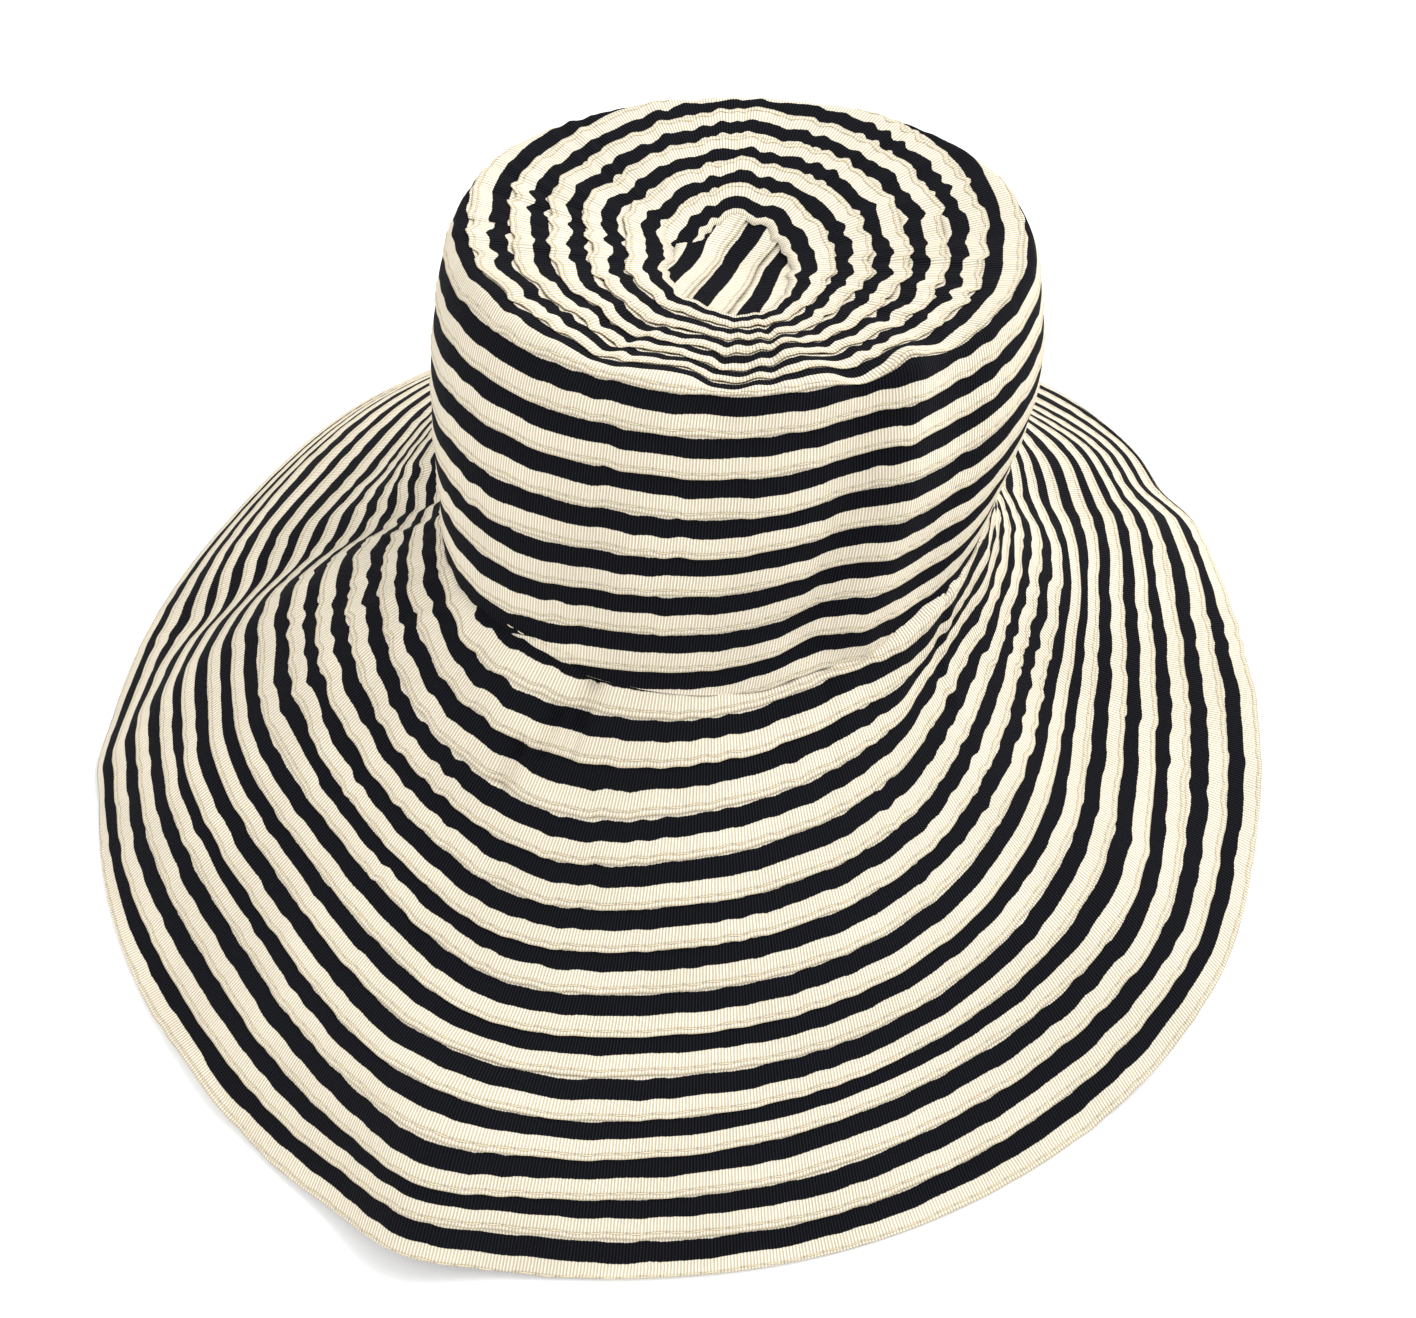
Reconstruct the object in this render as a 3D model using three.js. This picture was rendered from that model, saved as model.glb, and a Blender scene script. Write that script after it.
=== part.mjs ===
// Sun hat sewn from striped ribbon. One ribbon winds from the middle of the tip down the side of the
// crown, a second one winds outwards over the brim. Each turn laps over the next one like a shingle.
// Millimetres, Z up, the front towards -Y. The brim rests on Z = 0 and its outline is centred on Z.
import * as THREE from 'three';

// Ribbon
const brimPitch = 12.3;
const crownPitch = 13;
const clothThickness = 1.4;
const lapStep = 0.6;
const seamClearance = 0.3;

// Seam between crown and brim
const seamWidth = 185;
const seamDepth = 170;
const seamHeight = 96;
const seamSetBack = 43;

// Crown. The ridge is the edge between its side and its sunken tip, leaning back and to the right.
const sideTurns = 8;
const tipTurns = 6;
const ridgeWidth = 188;
const ridgeDepth = 152;
const ridgeLeanBack = 43;
const ridgeLeanRight = 11;
const sideUpright = 0.77;
const tipSink = 24;
const tipShiftBack = 6;
const tipShiftLeft = 4;

// Middle of the tip, where three short lengths of ribbon close the opening in the winding
const tipOpening = 28;
const stripCount = 3;
const stripTurn = 22;
const stripLap = 3;
const stripClearance = 0.5;

// Brim
const brimTurns = 13;

// Fineness of the facets
const brimSlices = 80;
const sideSlices = 60;
const tipSlices = 44;
const stripSteps = 6;
const curveSteps = 240;
const mitreLimit = 0.4;

const brimWidth = brimTurns * brimPitch;
const ridgeRise = sideTurns * crownPitch * sideUpright;

// Seam around the hat. at: degrees from the front towards +X. out: share of the seam's ellipse.
// up: share of seamHeight.
const seamShape = [
  { at: -180, out: 1.00, up: 0.95 },
  { at: -157.5, out: 1.00, up: 0.90 },
  { at: -135, out: 1.00, up: 0.88 },
  { at: -112.5, out: 1.00, up: 0.90 },
  { at: -90, out: 1.00, up: 0.92 },
  { at: -67.5, out: 1.03, up: 0.94 },
  { at: -45, out: 1.05, up: 0.94 },
  { at: -22.5, out: 1.02, up: 0.91 },
  { at: 0, out: 1.00, up: 0.89 },
  { at: 22.5, out: 1.00, up: 0.92 },
  { at: 45, out: 1.03, up: 1.01 },
  { at: 67.5, out: 1.03, up: 1.08 },
  { at: 90, out: 1.02, up: 1.12 },
  { at: 112.5, out: 1.00, up: 1.13 },
  { at: 135, out: 1.00, up: 1.08 },
  { at: 157.5, out: 1.00, up: 1.02 },
];

// Waves and folds of the brim, four stations from seam to edge in each slice.
// run: outwards from the seam, share of brimWidth. rise: height, share of seamHeight.
const brimShape = [
  { at: -180, run: [0.20, 0.42, 0.64, 0.84], rise: [0.76, 0.50, 0.24, -0.03] },
  { at: -157.5, run: [0.20, 0.42, 0.64, 0.83], rise: [0.72, 0.48, 0.22, -0.03] },
  { at: -135, run: [0.19, 0.37, 0.60, 0.81], rise: [0.73, 0.51, 0.29, 0.02] },
  { at: -112.5, run: [0.15, 0.32, 0.58, 0.78], rise: [0.75, 0.51, 0.31, 0.04] },
  { at: -90, run: [0.11, 0.38, 0.61, 0.84], rise: [0.79, 0.54, 0.30, 0.02] },
  { at: -67.5, run: [0.20, 0.49, 0.67, 0.89], rise: [0.78, 0.48, 0.30, 0.00] },
  { at: -45, run: [0.22, 0.46, 0.69, 0.93], rise: [0.66, 0.38, 0.18, -0.03] },
  { at: -22.5, run: [0.28, 0.55, 0.79, 0.99], rise: [0.59, 0.38, 0.33, 0.04] },
  { at: 0, run: [0.28, 0.53, 0.74, 0.945], rise: [0.63, 0.38, 0.17, -0.03] },
  { at: 22.5, run: [0.22, 0.46, 0.67, 0.89], rise: [0.61, 0.38, 0.16, -0.03] },
  { at: 45, run: [0.06, 0.36, 0.59, 0.82], rise: [0.69, 0.36, 0.28, 0.10] },
  { at: 67.5, run: [0.06, 0.25, 0.48, 0.72], rise: [0.73, 0.37, 0.28, 0.25] },
  { at: 90, run: [0.08, 0.28, 0.48, 0.69], rise: [0.80, 0.47, 0.32, 0.24] },
  { at: 112.5, run: [0.13, 0.32, 0.55, 0.77], rise: [0.82, 0.56, 0.38, 0.14] },
  { at: 135, run: [0.17, 0.37, 0.57, 0.81], rise: [0.81, 0.56, 0.31, 0.12] },
  { at: 157.5, run: [0.20, 0.41, 0.61, 0.82], rise: [0.77, 0.52, 0.26, 0.02] },
];

// Dents and bulges of the crown. middle, shoulder: share of that ring's ellipse.
// ridgeUp: height of the ridge over the seam, share of ridgeRise.
const crownShape = [
  { at: -180, middle: 1.09, shoulder: 1.04, ridgeUp: 0.96 },
  { at: -150, middle: 1.08, shoulder: 1.03, ridgeUp: 0.97 },
  { at: -120, middle: 1.03, shoulder: 1.01, ridgeUp: 0.98 },
  { at: -90, middle: 1.00, shoulder: 1.00, ridgeUp: 0.97 },
  { at: -60, middle: 1.02, shoulder: 1.01, ridgeUp: 0.96 },
  { at: -30, middle: 1.02, shoulder: 1.01, ridgeUp: 0.91 },
  { at: 0, middle: 1.00, shoulder: 1.00, ridgeUp: 0.88 },
  { at: 30, middle: 1.00, shoulder: 1.00, ridgeUp: 0.88 },
  { at: 60, middle: 1.00, shoulder: 1.00, ridgeUp: 0.89 },
  { at: 90, middle: 1.00, shoulder: 1.00, ridgeUp: 0.90 },
  { at: 120, middle: 1.03, shoulder: 1.02, ridgeUp: 0.94 },
  { at: 150, middle: 1.08, shoulder: 1.04, ridgeUp: 0.96 },
];

// Rings of the side between ridge and seam. width, depth: share of the ridge's.
// back, right: share of the ridge's lean. up: share of the way from seam to ridge.
const sideRings = {
  shoulder: { width: 1.045, depth: 0.993, back: 0.80, right: 0.86, up: 0.86 },
  middle: { width: 1.075, depth: 1.00, back: 0.40, right: 0.68, up: 0.52 },
};

// Sunken tip from its middle to the ridge. out, up: share of the way.
const tipRings = [
  { out: 0.33, up: 0.30 },
  { out: 0.68, up: 0.66 },
];

const radians = THREE.MathUtils.degToRad;

// Value of a table all the way round, eased from slice to slice
function around(table, angle, read) {
  const place = (angle - table[0].at) * table.length / 360;
  const first = Math.floor(place);
  const t = place - first;
  const slice = (n) => read(table[THREE.MathUtils.euclideanModulo(first + n, table.length)]);
  const [a, b, c, d] = [slice(-1), slice(0), slice(1), slice(2)];
  return b + 0.5 * t * (c - a + t * (2 * a - 5 * b + 4 * c - d + t * (3 * (b - c) + d - a)));
}

// Point of an ellipse seen from above, with angle 0 at the front
function onRing(angle, centreX, centreY, width, depth, height) {
  const turn = radians(angle);
  const x = centreX + 0.5 * width * Math.sin(turn);
  const y = centreY - 0.5 * depth * Math.cos(turn);
  return new THREE.Vector3(x, y, height);
}

function seamPoint(angle) {
  const out = around(seamShape, angle, (slice) => slice.out);
  const height = seamHeight * around(seamShape, angle, (slice) => slice.up);
  return onRing(angle, 0, seamSetBack, seamWidth * out, seamDepth * out, height);
}

function ridgePoint(angle) {
  const height = seamHeight + ridgeRise * around(crownShape, angle, (slice) => slice.ridgeUp);
  return onRing(angle, ridgeLeanRight, seamSetBack + ridgeLeanBack, ridgeWidth, ridgeDepth, height);
}

function sidePoint(angle, name) {
  const ring = sideRings[name];
  const out = around(crownShape, angle, (slice) => slice[name]);
  const height = THREE.MathUtils.lerp(seamPoint(angle).z, ridgePoint(angle).z, ring.up);
  const centreY = seamSetBack + ridgeLeanBack * ring.back;
  const width = ridgeWidth * ring.width * out;
  return onRing(angle, ridgeLeanRight * ring.right, centreY, width, ridgeDepth * ring.depth * out, height);
}

const tipMiddle = new THREE.Vector3(
  ridgeLeanRight - tipShiftLeft,
  seamSetBack + ridgeLeanBack + tipShiftBack,
  seamHeight + ridgeRise - tipSink,
);

// Evenly spaced points along a smooth section of the cloth
function section(points) {
  const curve = new THREE.CatmullRomCurve3(points, false, 'catmullrom', 0.5);
  curve.arcLengthDivisions = 2 * curveSteps;
  return { length: curve.getLength(), points: curve.getSpacedPoints(curveSteps) };
}

function alongSection({ length, points }, distance) {
  const place = THREE.MathUtils.clamp(distance / length, 0, 1) * curveSteps;
  const first = Math.min(Math.floor(place), curveSteps - 1);
  return points[first].clone().lerp(points[first + 1], place - first);
}

function tipSection(angle) {
  const ridge = ridgePoint(angle);
  const between = tipRings.map(({ out, up }) => {
    const point = tipMiddle.clone().lerp(ridge, out);
    point.z = THREE.MathUtils.lerp(tipMiddle.z, ridge.z, up);
    return point;
  });
  return section([tipMiddle, ...between, ridge]);
}

function sideSection(angle) {
  return section([
    ridgePoint(angle),
    sidePoint(angle, 'shoulder'),
    sidePoint(angle, 'middle'),
    seamPoint(angle),
  ]);
}

function brimSection(angle) {
  const seam = seamPoint(angle);
  const outwards = new THREE.Vector3(Math.sin(radians(angle)), -Math.cos(radians(angle)), 0);
  const stations = brimShape[0].run.map((_, n) => {
    const run = brimWidth * around(brimShape, angle, (slice) => slice.run[n]);
    const point = seam.clone().addScaledVector(outwards, run);
    point.z = seamHeight * around(brimShape, angle, (slice) => slice.rise[n]);
    return point;
  });
  return section([seam, ...stations]);
}

// Grid of points over a zone of the hat, two steps to each turn of ribbon
function gridOver(slices, turns, sectionAt, firstGap, lastGap) {
  return Array.from({ length: slices }, (_, i) => {
    const cut = sectionAt(-180 + 360 * i / slices);
    const from = firstGap;
    const to = cut.length - lastGap;
    return Array.from({ length: 2 * turns + 1 }, (__, j) => {
      return alongSection(cut, THREE.MathUtils.lerp(from, to, j / (2 * turns)));
    });
  });
}

// Outward directions of a grid
function normalsOf(grid) {
  return grid.map((column, i) => column.map((_, j) => {
    const after = grid[(i + 1) % grid.length][j];
    const before = grid[(i + grid.length - 1) % grid.length][j];
    const outer = column[Math.min(j + 1, column.length - 1)];
    const inner = column[Math.max(j - 1, 0)];
    const across = outer.clone().sub(inner);
    return across.cross(after.clone().sub(before)).normalize();
  }));
}

// Profile of a lapped wall: each turn rises to its outer edge, then the next one starts below it
function lappedProfile(turns) {
  const outside = [];
  for (let turn = 0; turn < turns; turn += 1) {
    outside.push({ row: 2 * turn, lift: 0 });
    if (turn === turns - 1) outside.push({ row: 2 * turn + 1, lift: 0.5 * lapStep });
    outside.push({ row: 2 * turn + 2, lift: lapStep });
  }
  const inside = [];
  for (let turn = 0; turn < turns; turn += 1) inside.push({ row: 2 * turn, lift: -clothThickness });
  inside.push({ row: 2 * turns - 1, lift: -clothThickness });
  inside.push({ row: 2 * turns, lift: -clothThickness });
  return [...outside, ...inside.reverse()];
}

// Closed ring of cloth around the hat
function clothRing(grid, normals, turns) {
  const profile = lappedProfile(turns);
  const positions = [];
  grid.forEach((column, i) => profile.forEach(({ row, lift }) => {
    const point = column[row].clone().addScaledVector(normals[i][row], lift);
    const pressedFlat = lift < 0 && column[row].z <= clothThickness;
    point.z = pressedFlat ? 0 : Math.max(point.z, 0);
    positions.push(point.x, point.y, point.z);
  }));
  const faces = [];
  const count = profile.length;
  grid.forEach((_, i) => profile.forEach((__, k) => {
    const here = i * count;
    const next = ((i + 1) % grid.length) * count;
    const below = (k + 1) % count;
    faces.push(here + k, here + below, next + below);
    faces.push(here + k, next + below, next + k);
  }));
  return closedGeometry(positions, faces);
}

function closedGeometry(positions, faces) {
  const geometry = new THREE.BufferGeometry();
  geometry.setAttribute('position', new THREE.Float32BufferAttribute(positions, 3));
  geometry.setIndex(faces);
  geometry.computeVertexNormals();
  return geometry;
}

// Where two walls meet, both end on the plane halfway between them
function mitre(upper, lower) {
  const halfway = (angleShare, own, other, ownRow, otherRow) => {
    const place = angleShare * other.length;
    const first = Math.floor(place) % other.length;
    const second = (first + 1) % other.length;
    const blend = other[first][otherRow].clone().lerp(other[second][otherRow], place - Math.floor(place));
    const sum = own[ownRow].clone().add(blend.normalize()).normalize();
    return sum.divideScalar(Math.max(sum.dot(own[ownRow]), mitreLimit));
  };
  const lastRow = upper[0].length - 1;
  const upperEnds = upper.map((own, i) => halfway(i / upper.length, own, lower, lastRow, 0));
  const lowerEnds = lower.map((own, i) => halfway(i / lower.length, own, upper, 0, lastRow));
  upperEnds.forEach((end, i) => { upper[i][lastRow] = end; });
  lowerEnds.forEach((end, i) => { lower[i][0] = end; });
}

// One short length of ribbon under the opening of the tip, bent to the same sunken form
function stripGeometry(index) {
  const width = tipOpening / stripCount;
  const halfLength = 0.5 * tipOpening + stripLap;
  const near = (index - 0.5 * stripCount) * width + 0.5 * seamClearance;
  const far = near + width - seamClearance;
  const top = -clothThickness - stripClearance;
  const positions = [];
  for (let step = 0; step <= stripSteps; step += 1) {
    const along = THREE.MathUtils.lerp(-halfLength, halfLength, step / stripSteps);
    const corners = [[near, top], [far, top], [far, top - clothThickness], [near, top - clothThickness]];
    corners.forEach(([across, lift]) => {
      const plan = new THREE.Vector2(across, along).rotateAround(new THREE.Vector2(), -radians(stripTurn));
      const angle = THREE.MathUtils.radToDeg(Math.atan2(plan.x, -plan.y));
      const point = alongSection(tipSection(angle), plan.length());
      positions.push(point.x, point.y, point.z + lift);
    });
  }
  const faces = [];
  const quad = (a, b, c, d) => faces.push(a, b, c, a, c, d);
  for (let step = 0; step < stripSteps; step += 1) {
    for (let side = 0; side < 4; side += 1) {
      const here = 4 * step + side;
      const beside = 4 * step + (side + 1) % 4;
      quad(here, beside, beside + 4, here + 4);
    }
  }
  const last = 4 * stripSteps;
  quad(3, 2, 1, 0);
  quad(last, last + 1, last + 2, last + 3);
  return closedGeometry(positions, faces);
}

// Walls of the hat
const tipGrid = gridOver(tipSlices, tipTurns, tipSection, 0.5 * tipOpening, 0);
const sideGrid = gridOver(sideSlices, sideTurns, sideSection, seamClearance, seamClearance);
const brimGrid = gridOver(brimSlices, brimTurns, brimSection, 0, 0);
brimGrid.forEach((column) => column.forEach((point) => {
  point.z = Math.max(point.z, clothThickness);
}));

const tipNormals = normalsOf(tipGrid);
const sideNormals = normalsOf(sideGrid);
const brimNormals = normalsOf(brimGrid);
mitre(tipNormals, sideNormals);
mitre(sideNormals, brimNormals);

const hat = new THREE.Group();

function addPiece(name, geometry, color) {
  const material = new THREE.MeshStandardMaterial({ color, roughness: 0.85, metalness: 0 });
  const piece = new THREE.Mesh(geometry, material);
  piece.name = name;
  hat.add(piece);
}

const cream = 0xe8dfca;
const creamShade = 0xd9cfb8;
addPiece('crown_tip', clothRing(tipGrid, tipNormals, tipTurns), cream);
addPiece('crown_side', clothRing(sideGrid, sideNormals, sideTurns), creamShade);
addPiece('brim', clothRing(brimGrid, brimNormals, brimTurns), cream);
for (let index = 0; index < stripCount; index += 1) {
  addPiece(`tip_strip_${index + 1}`, stripGeometry(index), creamShade);
}

// The middle of the brim's outline stands over the origin
const middle = new THREE.Box3().setFromObject(hat).getCenter(new THREE.Vector3());
hat.position.set(-middle.x, -middle.y, 0);

export default hat;
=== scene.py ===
# Sun hat sewn from two long lengths of striped grosgrain ribbon, lying on a pale floor.
# Lengths in the tables are millimetres and become metres when a mesh is made, except in the
# tables of the ribbon's material and of the studio, which are in metres.
import math

import bmesh
import bpy
import numpy as np
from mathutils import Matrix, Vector


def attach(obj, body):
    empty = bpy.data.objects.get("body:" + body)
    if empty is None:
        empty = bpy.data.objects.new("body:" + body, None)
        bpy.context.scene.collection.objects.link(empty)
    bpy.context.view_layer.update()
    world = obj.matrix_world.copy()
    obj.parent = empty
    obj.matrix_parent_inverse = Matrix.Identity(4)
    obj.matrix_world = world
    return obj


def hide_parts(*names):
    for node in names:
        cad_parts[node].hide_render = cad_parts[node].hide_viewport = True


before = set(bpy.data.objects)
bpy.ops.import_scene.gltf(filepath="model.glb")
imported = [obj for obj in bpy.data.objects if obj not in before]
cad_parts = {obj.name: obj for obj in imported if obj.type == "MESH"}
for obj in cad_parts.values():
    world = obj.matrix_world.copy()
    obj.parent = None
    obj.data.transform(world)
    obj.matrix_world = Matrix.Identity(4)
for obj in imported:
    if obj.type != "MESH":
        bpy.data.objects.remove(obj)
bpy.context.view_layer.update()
metres = 0.001  # a millimetre, in metres


# Camera, as in the photograph: a little off centre, looking down at the front of the hat
photo = {
    "width": 1416,  # px
    "focalLength": 1450,  # px
    "middleLeft": 25,  # px from the lens axis to the middle of the frame
    "sensor": 36,
    "nearest": 10,
    "place": (1.97, -356.7, 448.7),
    "lookDown": 50.86,  # degrees
}


def makeCamera():
    camera = bpy.data.objects.new("camera", bpy.data.cameras.new("camera"))
    bpy.context.scene.collection.objects.link(camera)
    bpy.context.scene.camera = camera
    camera.data.sensor_width = photo["sensor"]
    camera.data.lens = photo["sensor"] * photo["focalLength"] / photo["width"]
    camera.data.shift_x = photo["middleLeft"] / photo["width"]
    camera.data.clip_start = photo["nearest"] * metres
    camera.location = [length * metres for length in photo["place"]]
    camera.rotation_euler = (math.radians(90 - photo["lookDown"]), 0, 0)
    print("camera", tuple(camera.location))


makeCamera()


# The form that the ribbon is wound over, as in the part's source

hat = {
    "shift": (11.469, -33.796, 0),
    "restHeight": 0.8,  # of the form where the brim lies on the floor
    "slices": 720,
    "steps": 320,  # along the section of each slice
    "finer": 4,  # samples of a smooth curve for each step
}
seam = {"width": 185, "depth": 170, "height": 96, "setBack": 43}
crown = {
    "sideTurns": 8,
    "pitch": 13,
    "upright": 0.77,
    "width": 188,
    "depth": 152,
    "leanBack": 43,
    "leanRight": 11,
    "tipSink": 24,
    "tipShiftBack": 6,
    "tipShiftLeft": 4,
    "softness": 2.6,
}
brim = {
    "turns": 13,
    "pitch": 12.3,
    "tuck": 3,  # how far its ribbon reaches under the crown's edge
    "tuckDrop": 0.45,
}

# Seam around the hat, every 22.5 degrees from the back: share of the ellipse, share of its height
seamTable = np.array([
    (1.00, 0.95), (1.00, 0.90), (1.00, 0.88), (1.00, 0.90),
    (1.00, 0.92), (1.03, 0.94), (1.05, 0.94), (1.02, 0.91),
    (1.00, 0.89), (1.00, 0.92), (1.03, 1.01), (1.03, 1.08),
    (1.02, 1.12), (1.00, 1.13), (1.00, 1.08), (1.00, 1.02),
])

# Waves of the brim at the same places, at four stations from seam to edge:
# distance out as a share of the brim's width, height as a share of the seam's
brimRun = np.array([
    (0.20, 0.42, 0.64, 0.84), (0.20, 0.42, 0.64, 0.83), (0.19, 0.37, 0.60, 0.81),
    (0.15, 0.32, 0.58, 0.78), (0.11, 0.38, 0.61, 0.84), (0.20, 0.49, 0.67, 0.89),
    (0.22, 0.46, 0.69, 0.93), (0.28, 0.55, 0.79, 0.99), (0.28, 0.53, 0.74, 0.945),
    (0.22, 0.46, 0.67, 0.89), (0.06, 0.36, 0.59, 0.82), (0.06, 0.25, 0.48, 0.72),
    (0.08, 0.28, 0.48, 0.69), (0.13, 0.32, 0.55, 0.77), (0.17, 0.37, 0.57, 0.81),
    (0.20, 0.41, 0.61, 0.82),
])
brimRise = np.array([
    (0.76, 0.50, 0.24, -0.03), (0.72, 0.48, 0.22, -0.03), (0.73, 0.51, 0.29, 0.02),
    (0.75, 0.51, 0.31, 0.04), (0.79, 0.54, 0.30, 0.02), (0.78, 0.48, 0.30, 0.00),
    (0.66, 0.38, 0.18, -0.03), (0.59, 0.38, 0.33, 0.04), (0.63, 0.38, 0.17, -0.03),
    (0.61, 0.38, 0.16, -0.03), (0.69, 0.36, 0.28, 0.10), (0.73, 0.37, 0.28, 0.25),
    (0.80, 0.47, 0.32, 0.24), (0.82, 0.56, 0.38, 0.14), (0.81, 0.56, 0.31, 0.12),
    (0.77, 0.52, 0.26, 0.02),
])

# Dents of the crown, a row every 30 degrees from the back: middle and shoulder of its side
# as shares of their rings, and height of the ridge as a share of its rise
crownTable = np.array([
    (1.09, 1.04, 0.96), (1.08, 1.03, 0.97), (1.03, 1.01, 0.98), (1.00, 1.00, 0.97),
    (1.02, 1.01, 0.96), (1.02, 1.01, 0.91), (1.00, 1.00, 0.88), (1.00, 1.00, 0.88),
    (1.00, 1.00, 0.89), (1.00, 1.00, 0.90), (1.03, 1.02, 0.94), (1.08, 1.04, 0.96),
])

# Rings of the side between ridge and seam: a column of crownTable, the rest as shares of the
# crown's width and depth, of its lean back and right, and of the way up
sideRings = [
    {"column": 1, "width": 1.045, "depth": 0.993, "back": 0.80, "right": 0.86, "up": 0.86},
    {"column": 0, "width": 1.075, "depth": 1.00, "back": 0.40, "right": 0.68, "up": 0.52},
]
# Rings of the tip between its middle and the ridge: share of the way out, share of the way up
tipRings = [(0.33, 0.30), (0.68, 0.66)]


def smoothCurve(a, b, c, d, t):
    # From b to c on a smooth curve through all four
    return b + 0.5 * t * (c - a + t * (2 * a - 5 * b + 4 * c - d + t * (3 * (b - c) + d - a)))


def around(values, angles):
    # A table's value at an angle, round the hat and without corners
    place = (np.asarray(angles, float) + 180) * len(values) / 360
    first = np.floor(place).astype(int)
    t = place - first
    if values.ndim > 1:
        t = t[..., None]
    return smoothCurve(*[values[(first + k) % len(values)] for k in (-1, 0, 1, 2)], t)


def onRing(angles, centreX, centreY, width, depth, height):
    turn = np.radians(angles)
    return np.stack([
        centreX + 0.5 * width * np.sin(turn),
        centreY - 0.5 * depth * np.cos(turn),
        height + 0 * turn,
    ], -1)


def seamPoints(angles):
    out = around(seamTable[:, 0], angles)
    height = seam["height"] * around(seamTable[:, 1], angles)
    return onRing(angles, 0, seam["setBack"], seam["width"] * out, seam["depth"] * out, height)


ridgeRise = crown["sideTurns"] * crown["pitch"] * crown["upright"]


def ridgePoints(angles):
    height = seam["height"] + ridgeRise * around(crownTable[:, 2], angles)
    centreY = seam["setBack"] + crown["leanBack"]
    return onRing(angles, crown["leanRight"], centreY, crown["width"], crown["depth"], height)


def sidePoints(angles, ring):
    out = around(crownTable[:, ring["column"]], angles)
    low, high = seamPoints(angles)[:, 2], ridgePoints(angles)[:, 2]
    centreX = crown["leanRight"] * ring["right"]
    centreY = seam["setBack"] + crown["leanBack"] * ring["back"]
    width = crown["width"] * ring["width"] * out
    depth = crown["depth"] * ring["depth"] * out
    return onRing(angles, centreX, centreY, width, depth, low + (high - low) * ring["up"])


def section(stations, steps):
    # Smooth curve through the stations of every slice, in even steps
    stations = np.array(stations)
    count = len(stations)
    before = 2 * stations[0] - stations[1]
    after = 2 * stations[-1] - stations[-2]
    padded = np.concatenate([[before], stations, [after]])
    u = np.linspace(0, count - 1, hat["finer"] * steps)
    first = np.minimum(u.astype(int), count - 2)
    t = (u - first)[:, None, None]
    return evenly(smoothCurve(*[padded[first + k] for k in range(4)], t), steps)


def evenly(curve, steps):
    # The same curves with evenly spaced points, and their lengths
    gaps = np.linalg.norm(np.diff(curve, axis=0), axis=2)
    run = np.concatenate([np.zeros((1, curve.shape[1])), np.cumsum(gaps, 0)])
    points = np.zeros((curve.shape[1], steps + 1, 3))
    for i in range(curve.shape[1]):
        wanted = np.linspace(0, run[-1, i], steps + 1)
        for k in range(3):
            points[i, :, k] = np.interp(wanted, run[:, i], curve[:, i, k])
    return points, run[-1]


def unit(vectors):
    return vectors / np.maximum(np.linalg.norm(vectors, axis=-1, keepdims=True), 1e-9)


def formFrom(points, lengths):
    # The form's points, outward directions and section lengths
    before, after = np.roll(points, 1, 0), np.roll(points, -1, 0)
    across = np.gradient(points, axis=1)
    return {"points": points, "normals": unit(np.cross(across, after - before)), "lengths": lengths}


def slicesAt(angles, count):
    # The two slices beside an angle, and the share of the second
    place = ((np.asarray(angles, float) + 180) / 360 % 1) * count
    left = np.floor(place).astype(int) % count
    return left, (left + 1) % count, place - np.floor(place)


def lengthAt(form, angles, which="lengths"):
    # Length of the section at an angle. which="ridge" gives the crown's length up to its ridge.
    left, right, s = slicesAt(angles, len(form[which]))
    return form[which][left] * (1 - s) + form[which][right] * s


def onForm(form, angles, distances):
    # Point and outward direction at an angle and a distance along that slice's section
    angles, distances = np.broadcast_arrays(angles, distances)
    steps = form["points"].shape[1] - 1
    left, right, s = slicesAt(angles, form["points"].shape[0])
    along = np.clip(distances / lengthAt(form, angles), 0, 1) * steps
    j = np.minimum(along.astype(int), steps - 1)
    s, t = s[..., None], (along - j)[..., None]
    found = []
    for grid in (form["points"], form["normals"]):
        onLeft = grid[left, j] * (1 - t) + grid[left, j + 1] * t
        onRight = grid[right, j] * (1 - t) + grid[right, j + 1] * t
        found.append(onLeft * (1 - s) + onRight * s)
    found[1] = unit(found[1])
    return found


def softened(points, width):
    # Rounds the sections' corners over the given number of steps
    reach = int(3 * width)
    weights = np.exp(-0.5 * (np.arange(-reach, reach + 1) / width) ** 2)
    weights /= weights.sum()
    start = 2 * points[:, :1] - points[:, reach:0:-1]
    end = 2 * points[:, -1:] - points[:, -2:-reach - 2:-1]
    padded = np.concatenate([start, points, end], 1)
    return sum(w * padded[:, k:k + points.shape[1]] for k, w in enumerate(weights))


sliceAngles = -180 + 360 * np.arange(hat["slices"]) / hat["slices"]
sliceTurns = np.radians(sliceAngles)
outwards = np.stack([np.sin(sliceTurns), -np.cos(sliceTurns), 0 * sliceTurns], -1)


def eased(t):
    return t * t * (3 - 2 * t)


noiseCount = 4096  # random values before the wave repeats


def noise(place, seed):
    # Smooth random wave with a swing of one either way
    values = np.random.RandomState(seed).uniform(-1, 1, noiseCount)
    first = np.floor(place).astype(int)
    t = eased(place - first)
    return values[first % noiseCount] * (1 - t) + values[(first + 1) % noiseCount] * t


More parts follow.
